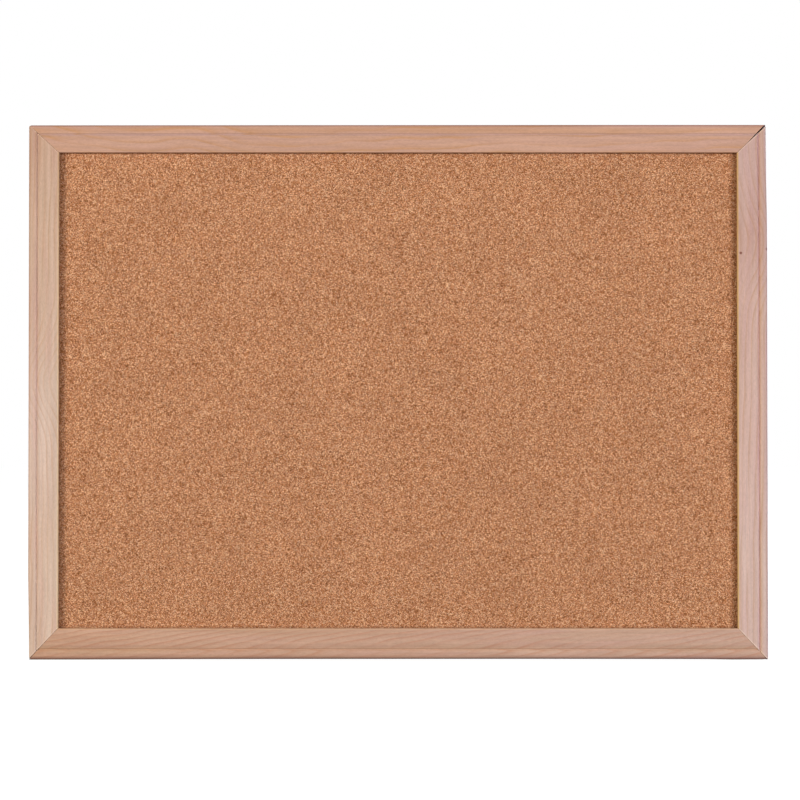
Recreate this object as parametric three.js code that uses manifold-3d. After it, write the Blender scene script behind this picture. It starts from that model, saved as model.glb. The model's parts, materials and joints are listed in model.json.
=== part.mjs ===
// Cork board: four mitred wooden members round a layered cork panel, hung by two swinging rings.
// Lengths are in millimetres. +X is to the right seen from the front, +Z is up, and the cork faces -Y.
// The origin is on the wall, midway between the two hooks, level with where they bear in the rings.

import * as THREE from 'three';
import { mergeVertices } from 'three/addons/utils/BufferGeometryUtils.js';
import Module from 'manifold-3d';

const wasm = await Module();
wasm.setup();

// Driving dimensions: the whole board
const boardWidth = 580;
const boardHeight = 420;
const frameDepth = 16;

// Driving dimensions: the moulding's cross-section
const stileFace = 23.5;
const topRailFace = 21.9;
const bottomRailFace = 24.7;
const lipThickness = 4.4;
const rebateWidth = 8;
const outerArris = 1.6;
const bottomOuterArris = 3;
const innerArris = 0.4;
const backArris = 0.8;
const bandFall = 0.5;
const stileQuirkInset = 6.7;
const topQuirkInset = 7.5;
const bottomQuirkInset = 8.6;
const quirkDepth = 0.9;
const quirkOuterSlope = 1.3;
const quirkInnerSlope = 0.6;

// Driving dimensions: the mitres
const mitreSetback = 0.2;
const openMitreWidth = 1.6;

// Driving dimensions: the panel's layers, front to back
const corkThickness = 1.8;
const coreThickness = 4.5;
const backThickness = 2.4;
const panelCornerRadius = 1.5;

// Driving dimensions: the corner wedges, each folded from flat steel
const vNailThickness = 0.6;
const vNailLeg = 5;
const vNailHeight = 10;
const vNailSink = 0.2;
const vNailPlaceShares = [0.3, 0.72];

// Driving dimensions: the flat points that hold the panel in
const pointThickness = 0.6;
const pointWidth = 7;
const pointBite = 6;
const pointReach = 9;
const pointTip = 3.5;
const pointCornerRadius = 1.2;
const pointsPerStile = 2;
const pointsPerRail = 3;

// Driving dimensions: the ring hangers
const hangerDrop = 80;
const ringWire = 1.8;
const ringInnerWidth = 11;
const ringBend = 1.4;
const ringWireGap = 0.4;
const strapThickness = 0.8;
const strapSlit = 0.2;

// Driving dimensions: the hanger screws
const screwShank = 3;
const screwLength = 12;
const screwTip = 4;
const screwHeadWidth = 6.6;
const screwHeadHeight = 2;
const screwHeadRim = 0.5;

// Driving dimensions: the rubber bumpers
const bumperWidth = 12;
const bumperEdge = 1.2;
const bumperInset = 34;

// Clearances
const seatGap = 0.3;
const glueLine = 0.1;
const panelPlay = 1;
const fastenerGap = 0.3;
const ringPlay = 0.3;
const strapSideGap = 1;
const strapEndGap = 1.5;
const screwHeadGap = 2.2;
const screwHoleGap = 0.25;
const hangerWallGap = 0.5;
const overrun = 2;

// Face counts. An arc in an outline is drawn with twice the count given here.
const profileSegments = 4;
const eyeSegments = 12;
const wireSegments = 5;
const wireSteps = 52;
const turnedSides = 24;
const edgeSteps = 5;

// Places worked out from the dimensions above
const corkFront = lipThickness + seatGap;
const coreFront = corkFront + corkThickness + glueLine;
const backFront = coreFront + coreThickness + glueLine;
const panelBack = backFront + backThickness;
const pointFront = panelBack + seatGap;
const eyeBore = ringWire / 2 + ringPlay;
const eyeOuter = eyeBore + strapThickness;
const eyeHeight = glueLine + eyeOuter;
const strapWidth = ringInnerWidth - 2 * strapSideGap;
const strapTop = glueLine + 2 * strapThickness + strapSlit;
const screwDrop = eyeOuter + screwHeadGap + screwHeadWidth / 2;
const ringHalfWidth = (ringInnerWidth + ringWire) / 2;
const hookReach = screwDrop + strapWidth / 2 + strapEndGap;
const ringReach = hookReach + ringWire / 2;
const hingeHeight = boardHeight / 2 - hangerDrop;
const hookHeight = hingeHeight + hookReach;
const bumperThickness = 2 * eyeOuter + hangerWallGap;
const wallStandoff = glueLine + bumperThickness;

// Materials
const finishes = {
  stile: new THREE.MeshStandardMaterial({ color: 0xd7b6a1, roughness: 0.55, metalness: 0 }),
  rail: new THREE.MeshStandardMaterial({ color: 0xc99c84, roughness: 0.55, metalness: 0 }),
  cork: new THREE.MeshStandardMaterial({ color: 0xba825d, roughness: 0.95, metalness: 0 }),
  softboard: new THREE.MeshStandardMaterial({ color: 0xa98d6b, roughness: 0.95, metalness: 0 }),
  hardboard: new THREE.MeshStandardMaterial({ color: 0x6f4a30, roughness: 0.7, metalness: 0 }),
  steel: new THREE.MeshStandardMaterial({ color: 0xb4b5b8, roughness: 0.35, metalness: 1 }),
  nickel: new THREE.MeshStandardMaterial({ color: 0xc8c5be, roughness: 0.25, metalness: 1 }),
  rubber: new THREE.MeshStandardMaterial({ color: 0x2c2c2e, roughness: 0.8, metalness: 0 }),
};

// Meshes to solids and back

function solidOf(geometry) {
  const bare = geometry.clone();
  bare.deleteAttribute('normal');
  bare.deleteAttribute('uv');
  const merged = mergeVertices(bare);
  return new wasm.Manifold(new wasm.Mesh({
    numProp: 3,
    vertProperties: Float32Array.from(merged.attributes.position.array),
    triVerts: Uint32Array.from(merged.index.array),
  }));
}

function geometryOf(solid) {
  const mesh = solid.getMesh();
  const geometry = new THREE.BufferGeometry();
  geometry.setAttribute('position', new THREE.BufferAttribute(mesh.vertProperties, 3));
  geometry.setIndex(new THREE.BufferAttribute(mesh.triVerts, 1));
  geometry.computeVertexNormals();
  return geometry;
}

function namedMesh(name, geometry, finish) {
  const mesh = new THREE.Mesh(geometry, finish);
  mesh.name = name;
  return mesh;
}

// An outline in X and Z, drawn with its second axis down, thickened towards +Y.
function plateGeometry(outline, thickness) {
  const settings = { depth: thickness, bevelEnabled: false, curveSegments: profileSegments };
  const geometry = new THREE.ExtrudeGeometry(outline, settings);
  geometry.rotateX(-Math.PI / 2);
  return geometry;
}

// A shape turned about Y from the radii and heights of its outline, from the foot to the top.
function turnedGeometry(outline) {
  return new THREE.LatheGeometry(outline, turnedSides);
}

// The moulding

// The cross-section: X runs in from the outer edge, Y runs back from the front face.
// The outer arris runs smoothly into the band, which rises to its crown and levels off at the quirk.
function mouldingSection(face, arris, quirkInset) {
  const rebateWall = face - rebateWidth;
  const bandEdge = quirkInset - quirkOuterSlope;
  const crown = (arris + bandEdge) / 2;
  const bandTilt = Math.atan2(bandFall, crown - arris);
  const arrisEnd = arris * (1 - Math.sin(bandTilt));
  const arrisCentre = (crown - arrisEnd) * Math.tan(bandTilt) + arris * Math.cos(bandTilt);
  const section = new THREE.Shape();
  section.moveTo(0, arrisCentre);
  section.absarc(arris, arrisCentre, arris, Math.PI, 1.5 * Math.PI - bandTilt);
  section.quadraticCurveTo(crown, 0, bandEdge, 0);
  section.lineTo(quirkInset, quirkDepth);
  section.lineTo(quirkInset + quirkInnerSlope, 0);
  section.lineTo(face - innerArris, 0);
  section.absarc(face - innerArris, innerArris, innerArris, 1.5 * Math.PI, 2 * Math.PI);
  section.lineTo(face, lipThickness);
  section.lineTo(rebateWall, lipThickness);
  section.lineTo(rebateWall, frameDepth);
  section.lineTo(backArris, frameDepth);
  section.absarc(backArris, frameDepth - backArris, backArris, Math.PI / 2, Math.PI);
  section.closePath();
  return section;
}

// A length of moulding along Z, each end slanted from its outer corner to its inner corner.
// Each end is given by its neighbour's face width, and by how far its outer corner stands open
// at the front. An open mitre closes towards its inner corner and towards the back.
function mitredMoulding(section, face, length, farEnd, nearEnd) {
  const settings = { depth: length, bevelEnabled: false, curveSegments: profileSegments };
  const geometry = new THREE.ExtrudeGeometry(section, settings);
  geometry.translate(0, 0, -length / 2);
  const corners = geometry.attributes.position;
  for (let i = 0; i < corners.count; i += 1) {
    const side = Math.sign(corners.getZ(i));
    const end = side > 0 ? farEnd : nearEnd;
    const across = corners.getX(i) / face;
    const back = corners.getY(i) / frameDepth;
    const gape = end.open * (1 - across) * (1 - back);
    corners.setZ(i, side * (length / 2 - mitreSetback - end.neighbourFace * across - gape));
  }
  return geometry;
}

// The corner wedges: two legs at a right angle, along the two members that meet

function vNailOutline(thickness, leg) {
  const half = thickness / 2;
  const outline = new THREE.Shape();
  outline.absarc(0, 0, half, Math.PI, 1.5 * Math.PI);
  outline.lineTo(leg, -half);
  outline.lineTo(leg, half);
  outline.lineTo(half, half);
  outline.lineTo(half, leg);
  outline.lineTo(-half, leg);
  outline.closePath();
  return outline;
}

// The panel points: a pointed blade, its X measured from the rebate's wall

function pointOutline(bite, width) {
  const half = width / 2;
  const outline = new THREE.Shape();
  outline.moveTo(-bite, 0);
  outline.lineTo(pointTip - bite, -half);
  outline.lineTo(pointReach - pointCornerRadius, -half);
  const tail = pointReach - pointCornerRadius;
  const shoulder = half - pointCornerRadius;
  outline.absarc(tail, -shoulder, pointCornerRadius, 1.5 * Math.PI, 2 * Math.PI);
  outline.absarc(tail, shoulder, pointCornerRadius, 0, Math.PI / 2);
  outline.lineTo(pointTip - bite, half);
  outline.closePath();
  return outline;
}

// The panel's layers

function panelOutline(width, height) {
  const radius = panelCornerRadius;
  const across = width / 2 - radius;
  const up = height / 2 - radius;
  const outline = new THREE.Shape();
  outline.absarc(across, up, radius, 0, Math.PI / 2);
  outline.absarc(-across, up, radius, Math.PI / 2, Math.PI);
  outline.absarc(-across, -up, radius, Math.PI, 1.5 * Math.PI);
  outline.absarc(across, -up, radius, 1.5 * Math.PI, 2 * Math.PI);
  outline.closePath();
  return outline;
}

// The hanger: a strip folded round the ring's bar, a wire ring and a screw

// Side view of the folded strip: X runs down from the hinge, Y runs out from the wood.
function foldedStripSection(drop) {
  const firstLeaf = glueLine + strapThickness;
  const slitTop = firstLeaf + strapSlit;
  const secondLeaf = slitTop + strapThickness;
  const outerMeet = Math.asin((eyeHeight - secondLeaf) / eyeOuter);
  const boreMeet = Math.asin((eyeHeight - slitTop) / eyeBore);
  const section = new THREE.Shape();
  section.moveTo(drop, glueLine);
  section.lineTo(0, glueLine);
  section.absarc(0, eyeHeight, eyeOuter, -Math.PI / 2, -outerMeet, true);
  section.lineTo(drop, secondLeaf);
  section.lineTo(drop, slitTop);
  section.absarc(0, eyeHeight, eyeBore, -boreMeet, -Math.PI / 2);
  section.lineTo(drop, firstLeaf);
  section.closePath();
  return section;
}

// Front view of the strap: straight sides and a round lower end about the screw.
function strapOutline() {
  const half = strapWidth / 2;
  const outline = new THREE.Shape();
  outline.moveTo(half, -eyeOuter - overrun);
  outline.lineTo(half, screwDrop);
  outline.absarc(0, screwDrop, half, 0, Math.PI);
  outline.lineTo(-half, -eyeOuter - overrun);
  outline.closePath();
  return outline;
}

function strapGeometry() {
  const drop = screwDrop + strapWidth;
  const settings = { depth: strapWidth + 2 * overrun, bevelEnabled: false, curveSegments: eyeSegments };
  const strip = new THREE.ExtrudeGeometry(foldedStripSection(drop), settings);
  strip.translate(0, 0, -settings.depth / 2);
  strip.rotateY(Math.PI / 2);
  const blank = plateGeometry(strapOutline(), eyeHeight + eyeOuter + overrun);
  const holeRadius = screwShank / 2 + screwHoleGap;
  const hole = new THREE.CylinderGeometry(holeRadius, holeRadius, 2 * eyeHeight, turnedSides);
  hole.translate(0, eyeHeight, -screwDrop);
  return geometryOf(solidOf(strip).intersect(solidOf(blank)).subtract(solidOf(hole)));
}

// A flat path stood upright in X and Z.
class UprightPath extends THREE.Curve {
  constructor(path) {
    super();
    this.path = path;
  }

  getPoint(share, target = new THREE.Vector3()) {
    const point = this.path.getPoint(share);
    return target.set(point.x, 0, point.y);
  }
}

// The wire's two ends meet in the middle of the bar, inside the fold.
function ringGeometry() {
  const side = ringHalfWidth;
  const path = new THREE.Path();
  path.moveTo(ringWireGap / 2, 0);
  path.lineTo(side - ringBend, 0);
  path.absarc(side - ringBend, ringBend, ringBend, -Math.PI / 2, 0);
  path.lineTo(side, ringReach - side);
  path.absarc(0, ringReach - side, side, 0, Math.PI);
  path.lineTo(-side, ringBend);
  path.absarc(ringBend - side, ringBend, ringBend, Math.PI, 1.5 * Math.PI);
  path.lineTo(-ringWireGap / 2, 0);
  const wire = new THREE.Shape();
  wire.absarc(0, 0, ringWire / 2, 0, 2 * Math.PI);
  return new THREE.ExtrudeGeometry(wire, {
    steps: wireSteps,
    curveSegments: wireSegments,
    extrudePath: new UprightPath(path),
  });
}

// The ring leans back until its bow all but rests on the wood.
const ringLean = Math.asin((eyeHeight - ringWire / 2 - seatGap) / ringReach);

// The screw's outline, with its head on Y zero, grown all over by a clearance.
function screwOutline(grow) {
  const shank = screwShank / 2 + grow;
  const head = screwHeadWidth / 2;
  const points = [
    new THREE.Vector2(0, -screwLength - grow),
    new THREE.Vector2(shank, screwTip - screwLength),
    new THREE.Vector2(shank, 0),
    new THREE.Vector2(head, 0),
  ];
  for (let step = 0; step <= edgeSteps; step += 1) {
    const turn = (step / edgeSteps) * (Math.PI / 2);
    const rise = screwHeadHeight - screwHeadRim;
    points.push(new THREE.Vector2(head * Math.cos(turn), screwHeadRim + rise * Math.sin(turn)));
  }
  points[points.length - 1].x = 0;
  return points;
}

function bumperOutline() {
  const radius = bumperWidth / 2;
  const points = [new THREE.Vector2(0, 0), new THREE.Vector2(radius, 0)];
  for (let step = 0; step <= edgeSteps; step += 1) {
    const turn = (step / edgeSteps) * (Math.PI / 2);
    const out = radius - bumperEdge + bumperEdge * Math.cos(turn);
    points.push(new THREE.Vector2(out, bumperThickness - bumperEdge + bumperEdge * Math.sin(turn)));
  }
  points.push(new THREE.Vector2(0, bumperThickness));
  return points;
}

// Assembly

const corkBoard = new THREE.Group();
const board = new THREE.Group();
board.position.set(0, -frameDepth - wallStandoff, -hookHeight);
corkBoard.add(board);

// The four sides, clockwise seen from the front. Each meets the next one at the corner named here.
const sides = [
  {
    name: 'left_stile', label: 'left', corner: 'top_left', open: 0,
    face: stileFace, arris: outerArris, quirkInset: stileQuirkInset,
    length: boardHeight, reach: boardWidth / 2,
    finish: finishes.stile, points: pointsPerStile,
  },
  {
    name: 'top_rail', label: 'top', corner: 'top_right', open: openMitreWidth,
    face: topRailFace, arris: outerArris, quirkInset: topQuirkInset,
    length: boardWidth, reach: boardHeight / 2,
    finish: finishes.rail, points: pointsPerRail,
  },
  {
    name: 'right_stile', label: 'right', corner: 'bottom_right', open: 0,
    face: stileFace, arris: outerArris, quirkInset: stileQuirkInset,
    length: boardHeight, reach: boardWidth / 2,
    finish: finishes.stile, points: pointsPerStile,
  },
  {
    name: 'bottom_rail', label: 'bottom', corner: 'bottom_left', open: 0,
    face: bottomRailFace, arris: bottomOuterArris, quirkInset: bottomQuirkInset,
    length: boardWidth, reach: boardHeight / 2,
    finish: finishes.rail, points: pointsPerRail,
  },
];
const [leftStile, topRail, rightStile, bottomRail] = sides;

// Fasteners that stand in the wood, each with the shape of its pocket and the members it is in.
const sunk = [];

function sink(group, fastener, pocket, members) {
  group.add(fastener);
  sunk.push({ fastener, pocket, members });
}

// Every side is built as the left one, with its outer edge at the left, and turned into its place.
function addMember(side, index) {
  side.next = sides[(index + 1) % sides.length];
  const last = sides[(index + sides.length - 1) % sides.length];
  side.group = new THREE.Group();
  side.group.rotation.y = index * (Math.PI / 2);
  board.add(side.group);

  const farEnd = { neighbourFace: side.next.face, open: side.open };
  const nearEnd = { neighbourFace: last.face, open: 0 };
  const section = mouldingSection(side.face, side.arris, side.quirkInset);
  const geometry = mitredMoulding(section, side.face, side.length, farEnd, nearEnd);
  side.mesh = namedMesh(side.name, geometry, side.finish);
  side.mesh.position.x = -side.reach;
  side.group.add(side.mesh);
}

// Two wedges across each mitre, pressed in from the back.
function addVNails(side) {
  const places = ['outer', 'inner'];
  places.forEach((place, index) => {
    const inset = (side.face - rebateWidth) * vNailPlaceShares[index];
    const geometry = plateGeometry(vNailOutline(vNailThickness, vNailLeg), vNailHeight);
    const nail = namedMesh(`v_nail_${side.corner}_${place}`, geometry, finishes.steel);
    const alongMitre = inset * (side.next.face / side.face);
    nail.position.x = inset - side.reach;
    nail.position.y = frameDepth - vNailSink - vNailHeight;
    nail.position.z = side.length / 2 - alongMitre;
    const pocketOutline = vNailOutline(vNailThickness + 2 * fastenerGap, vNailLeg + fastenerGap);
    const pocket = plateGeometry(pocketOutline, vNailHeight + fastenerGap + overrun);
    pocket.translate(0, -fastenerGap, 0);
    sink(side.group, nail, pocket, [side, side.next]);
  });
}

// Points spaced evenly along a side, driven into the rebate's wall over the back of the panel.
function addPanelPoints(side) {
  const rebateWall = side.face - rebateWidth;
  for (let place = 0; place < side.points; place += 1) {
    const geometry = plateGeometry(pointOutline(pointBite, pointWidth), pointThickness);
    const point = namedMesh(`panel_point_${side.label}_${place + 1}`, geometry, finishes.steel);
    const share = (place + 0.5) / side.points - 0.5;
    point.position.set(rebateWall - side.reach, pointFront, share * side.length);
    const pocketOutline = pointOutline(pointBite + fastenerGap, pointWidth + 2 * fastenerGap);
    const pocket = plateGeometry(pocketOutline, pointThickness + 2 * fastenerGap);
    pocket.translate(0, -fastenerGap, 0);
    sink(side.group, point, pocket, [side]);
  }
}

// Cork, softboard and hardboard of one size, which fill the rebates less their play.
function addPanel() {
  const top = boardHeight / 2 - (topRail.face - rebateWidth) - panelPlay;
  const bottom = bottomRail.face - rebateWidth + panelPlay - boardHeight / 2;
  const width = boardWidth - 2 * (stileFace - rebateWidth + panelPlay);
  const layers = [
    { name: 'cork_sheet', front: corkFront, thickness: corkThickness, finish: finishes.cork },
    { name: 'core_board', front: coreFront, thickness: coreThickness, finish: finishes.softboard },
    { name: 'back_panel', front: backFront, thickness: backThickness, finish: finishes.hardboard },
  ];
  for (const layer of layers) {
    const geometry = plateGeometry(panelOutline(width, top - bottom), layer.thickness);
    const mesh = namedMesh(layer.name, geometry, layer.finish);
    mesh.position.set(0, layer.front, (top + bottom) / 2);
    board.add(mesh);
  }
}

// A hanger in the middle of a stile's flat back. Its origin is on the wood, level with the hinge.
function addHanger(label, hand, stile) {
  const inset = (stileFace - rebateWidth) / 2;
  const hanger = new THREE.Group();
  hanger.position.set(hand * (boardWidth / 2 - inset), frameDepth, hingeHeight);
  board.add(hanger);

  hanger.add(namedMesh(`${label}_hanger_strap`, strapGeometry(), finishes.nickel));

  const ring = namedMesh(`${label}_hanger_ring`, ringGeometry(), finishes.nickel);
  ring.position.y = eyeHeight;
  ring.rotation.x = ringLean;
  hanger.add(ring);

  const screwGeometry = turnedGeometry(screwOutline(0));
  const screw = namedMesh(`${label}_hanger_screw`, screwGeometry, finishes.steel);
  screw.position.set(0, strapTop + glueLine, -screwDrop);
  sink(hanger, screw, turnedGeometry(screwOutline(fastenerGap)), [stile]);
}

function addBumper(label, hand) {
  const flatMiddle = (bottomRail.face - rebateWidth) / 2;
  const bumper = namedMesh(`${label}_bumper`, turnedGeometry(bumperOutline()), finishes.rubber);
  bumper.position.x = hand * (boardWidth / 2 - bumperInset);
  bumper.position.y = frameDepth + glueLine;
  bumper.position.z = flatMiddle - boardHeight / 2;
  board.add(bumper);
}

// Cuts from a member the pocket of one fastener, wherever the two stand.
function cutPocket(member, fastener, pocket) {
  const toMember = member.matrixWorld.clone().invert().multiply(fastener.matrixWorld);
  const tool = solidOf(pocket.clone().applyMatrix4(toMember));
  member.geometry = geometryOf(solidOf(member.geometry).subtract(tool));
}

sides.forEach(addMember);
sides.forEach(addVNails);
sides.forEach(addPanelPoints);
addPanel();
addHanger('left', -1, leftStile);
addHanger('right', 1, rightStile);
addBumper('left', -1);
addBumper('right', 1);

corkBoard.updateMatrixWorld(true);
for (const { fastener, pocket, members } of sunk) {
  for (const member of members) {
    cutPocket(member.mesh, fastener, pocket);
  }
}

export default corkBoard;
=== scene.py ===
import json
import math
from functools import partial

import bmesh
import bpy
from mathutils import Matrix, Vector, noise
from numpy import interp


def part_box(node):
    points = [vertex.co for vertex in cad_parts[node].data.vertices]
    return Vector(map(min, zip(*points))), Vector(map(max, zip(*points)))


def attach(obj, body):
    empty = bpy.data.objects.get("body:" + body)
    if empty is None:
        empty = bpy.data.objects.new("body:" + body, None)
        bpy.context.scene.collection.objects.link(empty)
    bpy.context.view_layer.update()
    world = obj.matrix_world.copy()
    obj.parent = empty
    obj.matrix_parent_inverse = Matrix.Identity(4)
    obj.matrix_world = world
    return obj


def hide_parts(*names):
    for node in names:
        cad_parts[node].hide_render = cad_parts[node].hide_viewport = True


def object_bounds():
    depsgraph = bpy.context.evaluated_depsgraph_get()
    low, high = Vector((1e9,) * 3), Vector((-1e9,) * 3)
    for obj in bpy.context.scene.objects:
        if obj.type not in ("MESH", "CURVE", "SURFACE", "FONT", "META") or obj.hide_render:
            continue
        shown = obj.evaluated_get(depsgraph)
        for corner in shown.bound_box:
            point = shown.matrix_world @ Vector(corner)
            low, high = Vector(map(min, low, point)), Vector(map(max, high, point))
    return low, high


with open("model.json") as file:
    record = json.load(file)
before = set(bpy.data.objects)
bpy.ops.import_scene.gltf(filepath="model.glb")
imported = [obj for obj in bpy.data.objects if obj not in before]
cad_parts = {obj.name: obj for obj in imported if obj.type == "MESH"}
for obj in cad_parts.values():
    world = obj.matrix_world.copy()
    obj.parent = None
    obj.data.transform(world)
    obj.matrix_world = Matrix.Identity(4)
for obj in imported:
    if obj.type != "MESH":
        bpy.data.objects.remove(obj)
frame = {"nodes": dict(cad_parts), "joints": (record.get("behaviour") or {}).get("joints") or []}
cad_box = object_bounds()


# The frame's members
# Four lengths of one beech moulding, planed and lightly sanded, mitred, glued and wedged at the corners.
# Each has a crowned outer band, a fine quirk and a rebate behind for the panel. The top right mitre
# has opened at its outer end, and the top left corner is worn round.

mm = 0.001
inner_arris = 0.4 * mm
back_arris = 0.8 * mm
eased_edge = 0.15 * mm
band_fall = 0.5 * mm
quirk_depth = 0.9 * mm
quirk_outer_slope = 1.1 * mm
quirk_inner_slope = 0.6 * mm
lip_thickness = 4.4 * mm
rebate_width = 8 * mm
mitre_gap = 0.05 * mm
mitre_chamfer = 0.12 * mm
open_mitre = 2.1 * mm
sprung_mitre = 0.35 * mm
mitre_holds_from = 6 * mm
mitre_opens_for = 15 * mm
worn_corner = (2 * mm, 2 * mm)
crisp_corner = (0.6 * mm, 0.6 * mm)
blunt_corner = (1.2 * mm, 1.2 * mm)
knocked_corner = (0.9 * mm, 5 * mm)
snubbed_corner = (1.5 * mm, 1.5 * mm)
# How far the paler wood beside a mitre reaches: it is rubbed flush and carries a painted highlight on the
# joint's edge.
rubbed_and_highlit_width = 1.1 * mm
# Where the painted highlight along the inner arris has faded out, and where it is full, in mm from the edge.
painted_lip_highlight_width_mm = 1.3
painted_lip_highlight_full_mm = 0.4
wedge_clearance = 0.12 * mm
pocket_mouth = 1 * mm
hair = 0.001 * mm
crown_share = 0.95
quirk_bottom = 0.1 * mm
quirk_arris = 0.2 * mm
wear_cuts = (0.12, 0.3, 0.5, 0.75, 1)
knot_brown = "743c2e"
knot_strength = 0.85
knot_thinning = 0.3
glue_brown = "553038"
faint_rings = 0.35
members_apart = (7.3, 3.1, 5.7)

# What varies in the wood: how often in a mm along and across the grain, detail, roughness and a shift.
wood_noises = {
    "drift": (0.006, 0.11, 2.0, 0.5, 1.0),
    "blush": (0.014, 0.2, 2.0, 0.5, 4.0),
    "wander": (0.012, 0.03, 2.0, 0.5, 2.0),
    "streaks": (0.02, 0.55, 3.0, 0.6, 5.0),
    "fibres": (0.35, 1.6, 2.0, 0.6, 3.0),
    "flecks": (0.7, 2.2, 1.0, 0.5, 6.0),
    "fading": (0.015, 0.1, 1.0, 0.5, 8.0),
}

# How dark a year's growth is, from one spring to the next.
year_of_growth = [(0.0, 0.0), (0.35, 0.04), (0.68, 0.4), (0.86, 1.0), (1.0, 0.0)]


def linear_colour(sheet_colour):
    """An sRGB hex value as the linear colour that the shaders take."""
    channels = [int(sheet_colour[place:place + 2], 16) / 255 for place in (0, 2, 4)]
    linear = [c / 12.92 if c <= 0.04045 else ((c + 0.055) / 1.055) ** 2.4 for c in channels]
    return (*linear, 1.0)


def add_node(tree, kind, inputs=None, stops=None, **settings):
    """Adds a shader node with its settings, and sets or links its inputs by name or by number.

    A node that is given as an input is linked by the first of its outputs in use.
    """
    node = tree.nodes.new("ShaderNode" + kind)
    for name, value in settings.items():
        setattr(node, name, value)
    for key, value in (inputs or {}).items():
        if isinstance(value, bpy.types.Node):
            value = next(output for output in value.outputs if output.enabled)
        if isinstance(value, bpy.types.NodeSocket):
            tree.links.new(value, node.inputs[key])
        else:
            node.inputs[key].default_value = value
    if stops:
        ramp = node.color_ramp
        while len(ramp.elements) < len(stops):
            ramp.elements.new(0.5)
        for element, (place, colour) in zip(ramp.elements, stops):
            element.position = place
            element.color = colour
    return node


def new_material(name):
    """An empty material, what adds nodes to it, and the object's own coordinates."""
    material = bpy.data.materials.new(name)
    material.use_nodes = True
    material.node_tree.nodes.clear()
    add = partial(add_node, material.node_tree)
    return material, add, add("TexCoord").outputs["Object"]


def grey(level):
    return (level, level, level, 1.0)
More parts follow.
